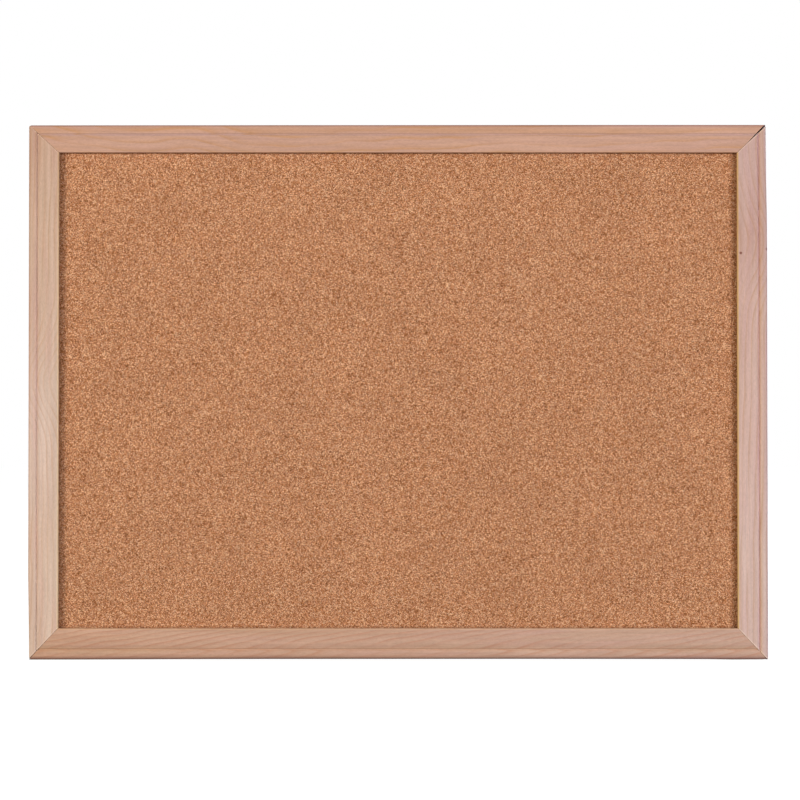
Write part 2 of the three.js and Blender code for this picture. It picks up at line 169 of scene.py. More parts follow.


# Beech, planed and sanded, with a thin wax finish: matt, pinkish tan, with long soft growth lines, short
# fibres and the small dark ray flecks that tell beech from maple. A pin knot shows as a brown dot. Painted
# shade lies on the outer arris, the quirk is tinted a little darker, and a pale yellow painted highlight
# runs along the inner arris. Beside the mitres the wood is paler, rubbed flush and with a painted highlight
# on the joint's edge, and the sawn ends are dark with glue.
def planed_beech(member, seed, centre):
    """Grain runs along the member. The rings are those of a log whose heart lies off the member."""
    material, add, place = new_material(member["node"] + "_beech")
    tones, rings = member["tones"], member["rings"]
    upright = member["node"].endswith("stile")
    turn = math.radians(90) if upright else 0
    along, across = (centre.z, -centre.x) if upright else (centre.x, centre.z)
    local = add("Mapping", {
        "Vector": place,
        "Scale": (1 / mm,) * 3,
        "Rotation": (0, turn, 0),
        "Location": (-along / mm, -centre.y / mm, -across / mm),
    })
    spot = add("SeparateXYZ", {0: local}).outputs

    waves = {}
    for name, (lengthwise, crosswise, detail, roughness, shift) in wood_noises.items():
        spread = add("Mapping", {
            "Vector": local,
            "Scale": (lengthwise, crosswise, crosswise),
            "Location": (seed * members_apart[0] + shift, seed * members_apart[1], shift * members_apart[2]),
        })
        waves[name] = add("TexNoise", {
            "Vector": spread, "Scale": 1.0, "Detail": detail, "Roughness": roughness,
        })
    ranges = {
        "drift": ("drift", 0.34, 0.66, 0.0, 1.0),
        "blush": ("blush", 0.42, 0.68, 0.0, 0.7),
        "clear": ("fading", 0.36, 0.58, faint_rings * rings["strength"], rings["strength"]),
        "fibre": ("fibres", 0.3, 0.7, 0.93, 1.06),
        "streak": ("streaks", 0.3, 0.7, *member["streaks"]),
        "fleck": ("flecks", 0.62, 0.74, 1.0, 0.88),
        "gloss": ("fibres", 0.3, 0.7, 0.72, 0.62),
    }
    level = {}
    for name, (wave, low, high, to_low, to_high) in ranges.items():
        level[name] = add("MapRange", {
            "Value": waves[wave], "From Min": low, "From Max": high, "To Min": to_low, "To Max": to_high,
        })

    swing = add("Math", {0: waves["wander"], 1: 0.5}, operation="SUBTRACT")
    swing = add("Math", {0: swing, 1: rings["wander"]}, operation="MULTIPLY")
    swing = add("Math", {0: swing, 1: rings["heart_across"]}, operation="SUBTRACT")
    from_heart = add("CombineXYZ", {
        "Y": add("Math", {0: spot["Y"], 1: rings["heart_depth"]}, operation="SUBTRACT"),
        "Z": add("Math", {0: spot["Z"], 1: swing}, operation="ADD"),
    })
    radius = add("VectorMath", {0: from_heart}, operation="LENGTH")
    radius = add("Math", {0: spot["X"], 1: rings["taper"], 2: radius}, operation="MULTIPLY_ADD")
    for at, width, shift in rings["swirls"]:
        away = add("Math", {0: spot["X"], 1: at}, operation="SUBTRACT")
        away = add("Math", {0: away, 1: width}, operation="DIVIDE")
        away = add("Math", {0: away, 1: away}, operation="MULTIPLY")
        away = add("Math", {0: away, 1: -1.0}, operation="MULTIPLY")
        hump = add("Math", {0: away}, operation="EXPONENT")
        radius = add("Math", {0: hump, 1: shift, 2: radius}, operation="MULTIPLY_ADD")
    past = add("Math", {0: spot["X"], 1: rings["flare_from"]}, operation="SUBTRACT")
    past = add("Math", {0: past, 1: 0.0}, operation="MINIMUM")
    flare = add("Math", {0: past, 1: past}, operation="MULTIPLY")
    flare = add("Math", {0: flare, 1: rings["flare"]}, operation="MULTIPLY")
    season = add("Math", {0: radius, 1: flare}, operation="ADD")
    season = add("Math", {0: season, 1: rings["spacing"]}, operation="DIVIDE")
    season = add("Math", {0: season}, operation="FRACT")
    latewood = add("ValToRGB", {"Fac": season}, stops=[(at, grey(dark)) for at, dark in year_of_growth])
    ringed = add("Math", {0: latewood, 1: level["clear"]}, operation="MULTIPLY")

    outer_side = 1 if member["node"] in ("left_stile", "top_rail") else -1
    face_mm, half_length = member["face"] / mm, member["length"] / mm / 2
    to_outer = add("Math", {0: spot["Z"], 1: -outer_side, 2: face_mm / 2}, operation="MULTIPLY_ADD")
    to_inner = add("Math", {0: face_mm, 1: to_outer}, operation="SUBTRACT")
    # A painted highlight along the inner arris, pale yellow, full at the edge and fading out over about a
    # millimetre.
    painted_lip_highlight = add("MapRange", {
        "Value": to_inner, "From Min": painted_lip_highlight_width_mm, "From Max": painted_lip_highlight_full_mm, "To Max": member["painted_lip_highlight"],
    })
    # Beside the mitres the wood is paler: it is rubbed flush and carries a painted highlight on the joint's
    # edge.
    rubbed_and_highlit = add("Attribute", attribute_name="rubbed_and_highlit").outputs["Fac"]
    rubbed_and_highlit = add("Math", {0: rubbed_and_highlit, 1: member["rubbed_and_highlit"]}, operation="MULTIPLY")
    shares = {"dark": level["drift"], "blush": level["blush"], "ring": ringed, "rubbed_and_highlit": rubbed_and_highlit, "painted_lip_highlight": painted_lip_highlight}
    body = linear_colour(tones["light"])
    for tone, share in shares.items():
        body = add("Mix", {0: share, 6: body, 7: linear_colour(tones[tone])}, data_type="RGBA")

    # The tints across paint shade on the outer arris and tint the quirk a little darker.
    spans = (
        (to_outer, 0.0, face_mm, face_mm, member["across"]),
        (spot["X"], -half_length, half_length, 1, member["along"]),
    )
    for value, start, end, whole, tints in spans:
        tint = add("ValToRGB", {
            "Fac": add("MapRange", {"Value": value, "From Min": start, "From Max": end}),
        }, stops=[(at / whole, linear_colour(colour)) for at, colour in tints])
        body = add("VectorMath", {0: body, 1: tint}, operation="MULTIPLY")
    for at, inward, size in member["knots"]:
        depth = add("Math", {0: spot["Y"], 1: frame_depth / mm / 2}, operation="ADD")
        apart = add("CombineXYZ", {
            "X": add("Math", {0: spot["X"], 1: at}, operation="SUBTRACT"),
            "Y": add("Math", {0: to_outer, 1: inward}, operation="SUBTRACT"),
            "Z": add("Math", {0: depth, 1: knot_thinning}, operation="MULTIPLY"),
        })
        knotted = add("MapRange", {
            "Value": add("VectorMath", {0: apart}, operation="LENGTH"),
            "From Min": size, "From Max": size / 2, "To Max": knot_strength,
        })
        body = add("Mix", {0: knotted, 6: body, 7: linear_colour(knot_brown)}, data_type="RGBA")
    sawn = add("Attribute", attribute_name="sawn").outputs["Fac"]
    body = add("Mix", {0: sawn, 6: body, 7: linear_colour(glue_brown)}, data_type="RGBA")

    shade = add("Math", {0: level["fibre"], 1: level["streak"]}, operation="MULTIPLY")
    shade = add("Math", {0: shade, 1: level["fleck"]}, operation="MULTIPLY")
    shader = add("BsdfPrincipled", {
        "Base Color": add("VectorMath", {0: body, 3: shade}, operation="SCALE"),
        "Roughness": level["gloss"],
        "IOR": 1.5,
        "Specular IOR Level": 0.08,
        "Normal": add("Bump", {"Height": shade, "Strength": 0.35, "Distance": 0.15 * mm}),
    })
    add("OutputMaterial", {"Surface": shader})
    return material


def finish_mesh(bm, name, sharp_over=30):
    """Closes a bmesh into a mesh with soft shading and edges kept sharp over an angle."""
    bmesh.ops.recalc_face_normals(bm, faces=bm.faces)
    for face in bm.faces:
        face.smooth = True
    for edge in bm.edges:
        edge.smooth = edge.calc_face_angle(math.pi) < math.radians(sharp_over)
    mesh = bpy.data.meshes.new(name)
    bm.to_mesh(mesh)
    bm.free()
    return mesh


def add_piece(name, mesh, material, node, body):
    """Puts a finished mesh in the scene in place of its CAD node."""
    piece = bpy.data.objects.new(name, mesh)
    bpy.context.scene.collection.objects.link(piece)
    mesh.materials.append(material)
    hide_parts(node)
    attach(piece, body)
    return piece


def merged_copy(node):
    """A CAD node's shape with its loose triangles joined up."""
    bm = bmesh.new()
    bm.from_mesh(frame["nodes"][node].data)
    bmesh.ops.remove_doubles(bm, verts=bm.verts, dist=hair)
    flat = math.radians(0.5)
    bmesh.ops.dissolve_limit(bm, angle_limit=flat, verts=bm.verts, edges=bm.edges)
    bmesh.ops.recalc_face_normals(bm, faces=bm.faces)
    return bm


def cut_away(piece, cutters):
    """Cuts other meshes from a piece and keeps the result as its mesh."""
    helpers = []
    for cutter in cutters:
        helper = bpy.data.objects.new("cutter", cutter)
        bpy.context.scene.collection.objects.link(helper)
        cut = piece.modifiers.new("cut", "BOOLEAN")
        cut.object = helper
        cut.operation = "DIFFERENCE"
        cut.solver = "EXACT"
        helpers.append(helper)
    seen = bpy.context.evaluated_depsgraph_get()
    whole = bpy.data.meshes.new_from_object(piece.evaluated_get(seen))
    piece.modifiers.clear()
    bm = bmesh.new()
    bm.from_mesh(whole)
    bmesh.ops.remove_doubles(bm, verts=bm.verts, dist=hair)
    old = piece.data
    material = old.materials[0]
    piece.data = finish_mesh(bm, old.name)
    piece.data.materials.append(material)
    bpy.data.meshes.remove(old)
    for helper in helpers:
        bpy.data.objects.remove(helper)


def moulding_blank(face, outer_arris, quirk_inset, length, depth):
    """A length of the moulding along Z. X runs in from the outer edge and Y back from the front."""
    band_edge = quirk_inset - quirk_outer_slope
    crown = (outer_arris + band_edge) / 2
    tilt = math.atan2(band_fall, crown - outer_arris)
    outer_front = crown * math.tan(tilt)
    rebate_wall = face - rebate_width
    outline = [
        (0, outer_front), (crown, 0), (band_edge, 0), (quirk_inset, quirk_depth),
        (quirk_inset + quirk_inner_slope, 0), (face, 0), (face, lip_thickness),
        (rebate_wall, lip_thickness), (rebate_wall, depth), (0, depth),
    ]
    rounds = {
        (0, outer_front): (outer_arris * math.tan((math.radians(90) - tilt) / 2), 7),
        (crown, 0): (crown_share * (band_edge - crown), 5),
        (quirk_inset, quirk_depth): (quirk_bottom, 2),
        (quirk_inset + quirk_inner_slope, 0): (quirk_arris, 3),
        (face, 0): (inner_arris, 5),
        (face, lip_thickness): (eased_edge, 2),
        (rebate_wall, depth): (eased_edge, 2),
        (0, depth): (back_arris, 4),
    }
    bm = bmesh.new()
    corners = [bm.verts.new((x, y, -length / 2)) for x, y in outline]
    section = bm.faces.new(corners)
    grown = bmesh.ops.extrude_face_region(bm, geom=[section])["geom"]
    far = [v for v in grown if isinstance(v, bmesh.types.BMVert)]
    bmesh.ops.translate(bm, verts=far, vec=(0, 0, length))
    for corner, (offset, segments) in rounds.items():
        at_corner = [e for e in bm.edges if all((v.co.xy - Vector(corner)).length < hair for v in e.verts)]
        bmesh.ops.bevel(bm, geom=at_corner, offset=offset, segments=segments,
                        profile=0.5, affect="EDGES", material=-1)
    return bm


def plane_edge(bm, fades_at, spots):
    """Takes the outer edge in where the plane took more. A spot is a place along and a depth, in mm."""
    places, depths = zip(*spots)
    for along in places:
        everything = bm.verts[:] + bm.edges[:] + bm.faces[:]
        bmesh.ops.bisect_plane(bm, geom=everything, plane_co=(0, 0, along * mm), plane_no=(0, 0, 1))
    for vert in bm.verts:
        taken = interp(vert.co.z / mm, places, depths) * mm
        vert.co.x += taken * max(0, 1 - vert.co.x / fades_at)


def saw_mitre(bm, face, length, side, end):
    """Saws one end from its outer to its inner corner, eases the cut's edge and marks the wood about it."""
    outer = Vector((0, 0, side * length / 2))
    inner = Vector((face, 0, side * (length / 2 - end["neighbour"])))
    out = (inner - outer).cross(Vector((0, side, 0))).normalized()
    if out.z * side < 0:
        out = -out
    everything = bm.verts[:] + bm.edges[:] + bm.faces[:]
    cut = bmesh.ops.bisect_plane(bm, geom=everything, plane_co=outer - out * (mitre_gap + mitre_chamfer),
                                 plane_no=out, clear_outer=True)["geom_cut"]
    rim = [e for e in cut if isinstance(e, bmesh.types.BMEdge)]
    caps = bmesh.ops.holes_fill(bm, edges=rim)["faces"]
    bmesh.ops.recalc_face_normals(bm, faces=bm.faces)
    bmesh.ops.inset_individual(bm, faces=caps, thickness=mitre_chamfer, depth=mitre_chamfer,
                               use_even_offset=True)
    sawn = bm.verts.layers.float["sawn"]
    for vert in {vert for cap in caps for vert in cap.verts}:
        vert[sawn] = end["glue"]
    bmesh.ops.triangulate(bm, faces=caps)
    # The wood near the joint is marked to be paler: it is rubbed flush and carries a painted highlight on the
    # joint's edge.
    everything = bm.verts[:] + bm.edges[:] + bm.faces[:]
    bmesh.ops.bisect_plane(bm, geom=everything, plane_co=outer - out * rubbed_and_highlit_width, plane_no=out)
    rubbed_and_highlit = bm.verts.layers.float["rubbed_and_highlit"]
    for vert in bm.verts:
        from_joint = (outer - vert.co).dot(out)
        vert[rubbed_and_highlit] = max(vert[rubbed_and_highlit], 1 - from_joint / rubbed_and_highlit_width)


def open_joint(bm, side, opened):
    """Draws a sawn end back from its neighbour at its outer corner and front. It still holds further in."""
    for edge, inward in ((mitre_holds_from, (0, 1, 0)), (mitre_opens_for, (1, 0, 0))):
        everything = bm.verts[:] + bm.edges[:] + bm.faces[:]
        bmesh.ops.bisect_plane(bm, geom=everything, plane_co=Vector(inward) * edge, plane_no=inward)
    for vert in bm.verts:
        if vert.co.z * side > 0:
            held_back = max(0, 1 - vert.co.x / mitre_opens_for) * max(0, 1 - vert.co.y / mitre_holds_from)
            vert.co.z -= side * opened * held_back


def wear_corner(bm, length, side, worn):
    """Rounds the tip where two members' outer edges meet, by drawing a rectangle in to its ellipse."""
    inward, along = worn
    for share in wear_cuts:
        everything = bm.verts[:] + bm.edges[:] + bm.faces[:]
        across = Vector((0, 0, side * (length / 2 - share * along)))
        bmesh.ops.bisect_plane(bm, geom=everything, plane_co=across, plane_no=(0, 0, 1))
    for vert in bm.verts:
        spoke = Vector((1 - vert.co.x / inward, 1 - (length / 2 - side * vert.co.z) / along))
        if min(spoke) > 0:
            spoke *= max(spoke) / spoke.length
            vert.co.x = inward * (1 - spoke.x)
            vert.co.z = side * (length / 2 - along * (1 - spoke.y))


def driven_pocket(node, growth, out_by):
    """The pocket that a wedge makes: its own shape grown a little and open at the back."""
    bm = merged_copy(node)
    back = max(v.co.y for v in bm.verts)
    for vert in bm.verts:
        vert.co += vert.normal * growth
        if vert.co.y > back - growth:
            vert.co.y += out_by
    bmesh.ops.triangulate(bm, faces=bm.faces)
    return finish_mesh(bm, "pocket")


board_low = Vector((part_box("left_stile")[0].x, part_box("left_stile")[0].y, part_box("bottom_rail")[0].z))
board_high = Vector((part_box("right_stile")[1].x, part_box("right_stile")[1].y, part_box("top_rail")[1].z))
front = board_low.y
board_centre = Vector((0, front, (board_low.z + board_high.z) / 2))
board_width = board_high.x - board_low.x
board_height = board_high.z - board_low.z
frame_depth = board_high.y - board_low.y
stile_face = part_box("left_stile")[1].x - board_low.x
top_face = board_high.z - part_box("top_rail")[0].z
bottom_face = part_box("bottom_rail")[1].z - board_low.z

# A member's tints multiply its tones: those across it go by the distance in mm from its outer edge, those
# along it by the share of its length from the left or from below. The tints across paint shade on the outer
# arris and tint the quirk a little darker. The tone at the inner arris is a painted highlight, and the tone
# by the mitres is paler wood with a painted highlight on top. An end's glue is how much of the dark glue
# film shows in its joint. What was planed off an edge fades out at "planed_to" from it. A knot has its place
# along the member, its distance from the outer edge and its radius, and a swirl in the rings its place, its
# width and its height, all in mm.
members = [
    {
        "node": "left_stile", "slot": "stile_wood", "face": stile_face, "length": board_height,
        "arris": 1.6 * mm, "quirk": 7 * mm, "rubbed_and_highlit": 0.8, "streaks": (0.93, 1.06), "painted_lip_highlight": 0.5, "knots": [],
        "planed_to": 7 * mm, "planed": [(-210, 0.95), (-187, 0.72), (-143, 0)],
        "ends": {
            1: {"neighbour": top_face, "opened": 0, "glue": 0.15, "worn": worn_corner},
            -1: {"neighbour": bottom_face, "opened": 0, "glue": 0.8, "worn": blunt_corner},
        },
        "wedges": ("top_left", "bottom_left"),
        "tones": {"light": "dfc8ba", "dark": "d2b9a7", "blush": "d4b2a5", "ring": "cead96",
                  "rubbed_and_highlit": "f0d8c6", "painted_lip_highlight": "f0d8a8"},
        "across": [(0, "e2d3d0"), (1.4, "fbf4ef"), (2.4, "fffdff"), (7, "fffcff"), (7.7, "fffbf8"),
                   (9, "fffdfc")],
        "along": [(0, "f9f7f1"), (0.25, "fbf8f2"), (0.4, "ffffff"), (0.5, "ffffff"), (0.6, "faf5f0"),
                  (0.8, "f5eee4"), (0.95, "ebded2")],
        "rings": {"heart_depth": 25, "heart_across": -40, "taper": 0.02, "spacing": 3.4, "wander": 12,
                  "strength": 1, "flare_from": 0, "flare": 0, "swirls": [(7, 32, -14)]},
    },
    {
        "node": "top_rail", "slot": "rail_wood", "face": top_face, "length": board_width,
        "arris": 1.6 * mm, "quirk": 7.8 * mm, "rubbed_and_highlit": 0.15, "streaks": (0.92, 1.07), "painted_lip_highlight": 0.1,
        "knots": [], "planed_to": 7.8 * mm, "planed": [(-290, 0.33), (0, 0.13), (180, 0)],
        "ends": {
            1: {"neighbour": stile_face, "opened": open_mitre, "glue": 1, "worn": snubbed_corner},
            -1: {"neighbour": stile_face, "opened": 0, "glue": 0.15, "worn": worn_corner},
        },
        "wedges": ("top_left", "top_right"),
        "tones": {"light": "cea69e", "dark": "c39b90", "blush": "c69f9c", "ring": "c29375",
                  "rubbed_and_highlit": "e2bda4", "painted_lip_highlight": "e2bd90"},
        "across": [(0, "e3cfc1"), (1.2, "ece0d5"), (1.9, "fcfae6"), (4.5, "fff7da"), (6.4, "fffbe4"),
                   (7.8, "f7ffff"), (9.4, "fefbe7")],
        "along": [(0, "fffefb"), (0.65, "fffefb"), (1, "ffffff")],
        "rings": {"heart_depth": 60, "heart_across": 45, "taper": 0.02, "spacing": 4.6, "wander": 16,
                  "strength": 0.8, "flare_from": -70, "flare": 0.0004, "swirls": [(-165, 35, 6)]},
    },
    {
        "node": "right_stile", "slot": "stile_wood", "face": stile_face, "length": board_height,
        "arris": 1.6 * mm, "quirk": 6.7 * mm, "rubbed_and_highlit": 0.9, "streaks": (0.935, 1.06), "painted_lip_highlight": 0.75,
        "knots": [(109.1, 20.9, 1.35), (112.2, 0.1, 1.5)],
        "planed_to": stile_face, "planed": [(-210, 0.92), (-166, 0.56), (-135, 0.06), (-110, 0)],
        "ends": {
            1: {"neighbour": bottom_face, "opened": 0, "glue": 0.5, "worn": knocked_corner[::-1]},
            -1: {"neighbour": top_face, "opened": 0, "glue": 1, "worn": crisp_corner},
        },
        "wedges": ("top_right", "bottom_right"),
        "tones": {"light": "d9beb9", "dark": "cdb1aa", "blush": "d0afae", "ring": "c8a595",
                  "rubbed_and_highlit": "f6dccd", "painted_lip_highlight": "d7b168"},
        "across": [(0, "e0d0d3"), (1.2, "fdffff"), (5.4, "fdfae2"), (6.2, "f6e4d2"), (7.2, "fdf9fb"),
                   (8.8, "fdfbf3")],
        "along": [(0, "ffffff"), (0.2, "ffffff"), (0.4, "fcf7f6"), (0.68, "fcf7f3"), (0.8, "f2e8e5"),
                  (0.92, "f7f1f1")],
        "rings": {"heart_depth": 80, "heart_across": -60, "taper": 0.012, "spacing": 3, "wander": 9,
                  "strength": 0.9, "flare_from": 0, "flare": 0, "swirls": [(115, 38, 10)]},
    },
    {
        "node": "bottom_rail", "slot": "rail_wood", "face": bottom_face, "length": board_width,
        "arris": 3 * mm, "quirk": 8.4 * mm, "rubbed_and_highlit": 0.15, "streaks": (0.915, 1.07), "painted_lip_highlight": 0.4, "knots": [],
        "planed_to": 8.4 * mm,
        "planed": [(-290, 0.3), (-262, 0.14), (-243, 0.46), (-213, 0.53), (-111, 0.65), (100, 0.57),
                   (170, 0.42), (240, 0.15), (290, 0.1)],
        "ends": {
            1: {"neighbour": stile_face, "opened": sprung_mitre, "glue": 0.8, "worn": snubbed_corner},
            -1: {"neighbour": stile_face, "opened": 0, "glue": 0.5, "worn": knocked_corner},
        },
        "wedges": ("bottom_left", "bottom_right"),
        "tones": {"light": "d2b1a2", "dark": "c7a693", "blush": "caa59a", "ring": "c39682",
                  "rubbed_and_highlit": "dcb9a0", "painted_lip_highlight": "e4c09a"},
        "across": [(0, "c4b6b8"), (1.6, "dfd6d6"), (3.7, "faf5f0"), (6, "fffffb"), (8.4, "faf7ec"),
                   (10.2, "efece6"), (13.5, "faf8f5")],
        "along": [(0, "fbf2e2"), (0.5, "fcf7f0"), (1, "ffffff")],
        "rings": {"heart_depth": 40, "heart_across": -14, "taper": -0.07, "spacing": 1.6, "wander": 12,
                  "strength": 1, "flare_from": 0, "flare": 0, "swirls": []},
    },
]

for quarter, member in enumerate(members):
    node = member["node"]
    face, length = member["face"], member["length"]
    reach = (board_width if node.endswith("stile") else board_height) / 2 - hair
    low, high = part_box(node)
    blank = moulding_blank(face, member["arris"], member["quirk"], length, frame_depth)
    plane_edge(blank, member["planed_to"], member["planed"])
    blank.verts.layers.float.new("rubbed_and_highlit")
    blank.verts.layers.float.new("sawn")
    for side, end in member["ends"].items():
        saw_mitre(blank, face, length, side, end)
    for side, end in member["ends"].items():
        open_joint(blank, side, end["opened"])
        wear_corner(blank, length, side, end["worn"])
    turned = Matrix.Rotation(math.radians(90) * quarter, 4, "Y")
    in_place = Matrix.Translation(board_centre) @ turned @ Matrix.Translation((-reach, 0, 0))
    bmesh.ops.transform(blank, matrix=in_place, verts=blank.verts)
    beech = planed_beech(member, quarter + 1, (low + high) / 2)
    piece = add_piece(node + "_moulding", finish_mesh(blank, node), beech, node, "board")
    pockets = [
        driven_pocket(f"v_nail_{corner}_{place}", wedge_clearance, pocket_mouth)
        for corner in member["wedges"] for place in ("outer", "inner")
    ]
    cut_away(piece, pockets)


# The corner wedges
# Eight L-shaped wedges of thin bright steel strip, two at each mitre, pressed in from the back until
# they lie just under the wood. They draw the mitre together while its glue sets.

steel_grain_mm = 0.25
drawn_out = 0.08
eased_steel = 0.08 * mm
sharp_turn = math.radians(40)


# Cold-rolled bright steel: a grey metal with the fine lines of the rolls and a soft sheen.
def rolled_steel(name):
    material, add, place = new_material(name)
    fine = 1 / (steel_grain_mm * mm)
    lines = add("Mapping", {"Vector": place, "Scale": (fine, fine, drawn_out * fine)})
    rolled = add("TexNoise", {"Vector": lines, "Scale": 1.0, "Detail": 3.0})
    tint = add("Mix", {
        0: rolled, 6: linear_colour("a9abaf"), 7: linear_colour("c6c7ca"),
    }, data_type="RGBA")
    shader = add("BsdfPrincipled", {
        "Base Color": tint,
        "Metallic": 1.0,
        "Roughness": add("MapRange", {"Value": rolled, "To Min": 0.28, "To Max": 0.45}),
        "Normal": add("Bump", {"Height": rolled, "Strength": 0.2, "Distance": 0.02 * mm}),
    })
    add("OutputMaterial", {"Surface": shader})
    return material


def eased_copy(node, width, segments, name):
    """A CAD node's shape with its sharp edges rounded over."""
    bm = merged_copy(node)
    sharp = [e for e in bm.edges if e.calc_face_angle(0) > sharp_turn]
    bmesh.ops.bevel(bm, geom=sharp, offset=width, segments=segments, profile=0.5,
                    affect="EDGES", material=-1, clamp_overlap=True)
    return finish_mesh(bm, name)


bright_steel = rolled_steel("rolled_bright_steel")
for corner in ("top_left", "top_right", "bottom_right", "bottom_left"):
    for place in ("outer", "inner"):
        node = f"v_nail_{corner}_{place}"
        mesh = eased_copy(node, eased_steel, 1, node)
        add_piece(node + "_steel", mesh, bright_steel, node, "board")


# The cork sheet
# A sheet of agglomerated cork: granules of about a millimetre, pressed and bound with a little resin,
# sliced thin and sanded. It is glued to the softboard behind and is pinned into.

granule_mm = 0.82
grain_mm = 0.5
dust_mm = 0.45
crooks_per_mm = 0.9
crooked_by = 0.9 * mm
patches_per_mm = 0.03
dust_share = 0.55
mottle_share = 0.27
cork_tones = [(0.21, "784925"), (0.375, "ab6b43"), (0.5, "c7875d"), (0.625, "dd9e74"), (0.79, "fed0a4")]
# A painted falloff of the light: the cork's tone darkens a little towards the right and towards the bottom.
cork_painted_falloff = (-0.04, 0, 0.08)
cork_hues = (0.495, 0.504)
cork_colourfulness = (0.93, 1.06)
opening_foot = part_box("bottom_rail")[1].z
opening_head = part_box("top_rail")[0].z
opening_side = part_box("right_stile")[0].x
# Painted shade on the cork along the frame: for the sides, the foot and the head, how far it reaches and how
# dark it is at the frame.
painted_frame_shade = {"side": (3.6 * mm, 0.63), "foot": (2.2 * mm, 0.64), "head": (3.4 * mm, 0.9)}
cork_step = 1.5 * mm
cork_swell = 2.4 * mm
cork_relief = 0.07 * mm


# Agglomerated cork, sanded: matt golden brown granules, each of its own tone and a little of its own
# hue, mottled within, with darker resin between them and a few crumbs of dark bark and pale ones. Along
# the frame the cork is darkened with painted shade, and a painted falloff of the light makes it a little
# darker towards the right and the bottom.
def granulated_cork(name):
    material, add, place = new_material(name)
    fine = add("TexNoise", {"Vector": place, "Scale": crooks_per_mm / mm, "Detail": 2.0})
    crooked = add("VectorMath", {0: fine.outputs["Color"], 1: (0.5,) * 3}, operation="SUBTRACT")
    bent = add("VectorMath", {0: crooked, 1: (crooked_by,) * 3, 2: place}, operation="MULTIPLY_ADD")
    granules, dust = (
        add("TexVoronoi", {"Vector": bent, "Scale": 1 / (size * mm)}).outputs["Color"]
        for size in (granule_mm, dust_mm)
    )
    own = add("SeparateColor", {0: granules}).outputs
    crumb = add("SeparateColor", {0: dust}).outputs
    mottle = add("TexNoise", {
        "Vector": place, "Scale": 1 / (grain_mm * mm), "Detail": 1.0, "Roughness": 0.6,
    })
    mottled = add("MapRange", {"Value": mottle, "From Min": 0.28, "From Max": 0.72})
    tone = add("Mix", {0: dust_share, 2: own[0], 3: crumb[0]}, data_type="FLOAT")
    tone = add("Mix", {0: mottle_share, 2: tone, 3: mottled}, data_type="FLOAT")
    tinted = add("ValToRGB", {"Fac": tone}, stops=[(at, linear_colour(tint)) for at, tint in cork_tones])
    for channel, strength, crumb_tone in ((1, 0.75, "6e4023"), (2, 0.6, "eabb93")):
        odd = add("MapRange", {
            "Value": own[channel], "From Min": 0.95, "From Max": 0.97, "To Max": strength,
        })
        tinted = add("Mix", {0: odd, 6: tinted, 7: linear_colour(crumb_tone)}, data_type="RGBA")

    seams = add("TexVoronoi", {
        "Vector": bent, "Scale": 1 / (granule_mm * mm),
    }, feature="DISTANCE_TO_EDGE")
    seam = add("MapRange", {"Value": seams, "From Max": 0.14, "To Min": 0.52})
    patches = add("TexNoise", {"Vector": place, "Scale": patches_per_mm / mm, "Detail": 3.0})
    patch = add("MapRange", {
        "Value": patches, "From Min": 0.3, "From Max": 0.7, "To Min": 0.96, "To Max": 1.04,
    })
    shade = add("Math", {0: seam, 1: patch}, operation="MULTIPLY")
    # The painted falloff of the light, darker towards the right and the bottom.
    lean = add("VectorMath", {0: place, 1: cork_painted_falloff}, operation="DOT_PRODUCT")
    shade = add("Math", {0: shade, 1: lean, 2: shade}, operation="MULTIPLY_ADD")
    spot = add("SeparateXYZ", {0: place}).outputs
    # Painted shade where the frame shades the cork, darkest at the frame's edge.
    gaps = {
        "side": {0: opening_side, 1: add("Math", {0: spot["X"]}, operation="ABSOLUTE")},
        "foot": {0: spot["Z"], 1: opening_foot},
        "head": {0: opening_head, 1: spot["Z"]},
    }
    for edge, (width, shaded_to) in painted_frame_shade.items():
        gap = add("Math", gaps[edge], operation="SUBTRACT")
        painted_shade_near_frame = add("MapRange", {"Value": gap, "From Max": width, "To Min": shaded_to})
        shade = add("Math", {0: shade, 1: painted_shade_near_frame}, operation="MULTIPLY")
    hue, colourfulness = (
        add("MapRange", {"Value": channel, "To Min": low, "To Max": high})
        for channel, (low, high) in ((crumb[1], cork_hues), (own[1], cork_colourfulness))
    )
    varied = add("HueSaturation", {"Hue": hue, "Saturation": colourfulness, "Color": tinted})
    height = add("Math", {0: own[0], 1: seam}, operation="MULTIPLY")
    shader = add("BsdfPrincipled", {
        "Base Color": add("VectorMath", {0: varied, 3: shade}, operation="SCALE"),
        "Roughness": 0.92,
        "IOR": 1.45,
        "Specular IOR Level": 0.25,
        "Normal": add("Bump", {"Height": height, "Strength": 0.5, "Distance": 0.15 * mm}),
    })
    add("OutputMaterial", {"Surface": shader})
    return material


def pressed_sheet(node, step, relief):
    """A sheet whose face is a fine grid, raised and sunk a little as its granules are."""
    low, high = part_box(node)
    size = high - low
    middle = (low + high) / 2
    bm = bmesh.new()
    columns = round(size.x / step)
    rows = round(size.z / step)
    bmesh.ops.create_grid(bm, x_segments=columns, y_segments=rows, size=0.5)
    place = Matrix.Translation((middle.x, low.y, middle.z)) @ Matrix.Rotation(math.radians(90), 4, "X")
    bmesh.ops.transform(bm, matrix=place @ Matrix.Diagonal((size.x, size.z, 1, 1)), verts=bm.verts)
    rim = [e for e in bm.edges if e.is_boundary]
    for vert in bm.verts:
        if not vert.is_boundary:
            vert.co.y += relief * (1 + noise.noise(vert.co / cork_swell))
    walls = bmesh.ops.extrude_edge_only(bm, edges=rim)["geom"]
    back = [v for v in walls if isinstance(v, bmesh.types.BMVert)]
    bmesh.ops.translate(bm, verts=back, vec=(0, size.y, 0))
    back_rim = [e for e in walls if isinstance(e, bmesh.types.BMEdge) and e.is_boundary]
    bmesh.ops.holes_fill(bm, edges=back_rim)
    return bm


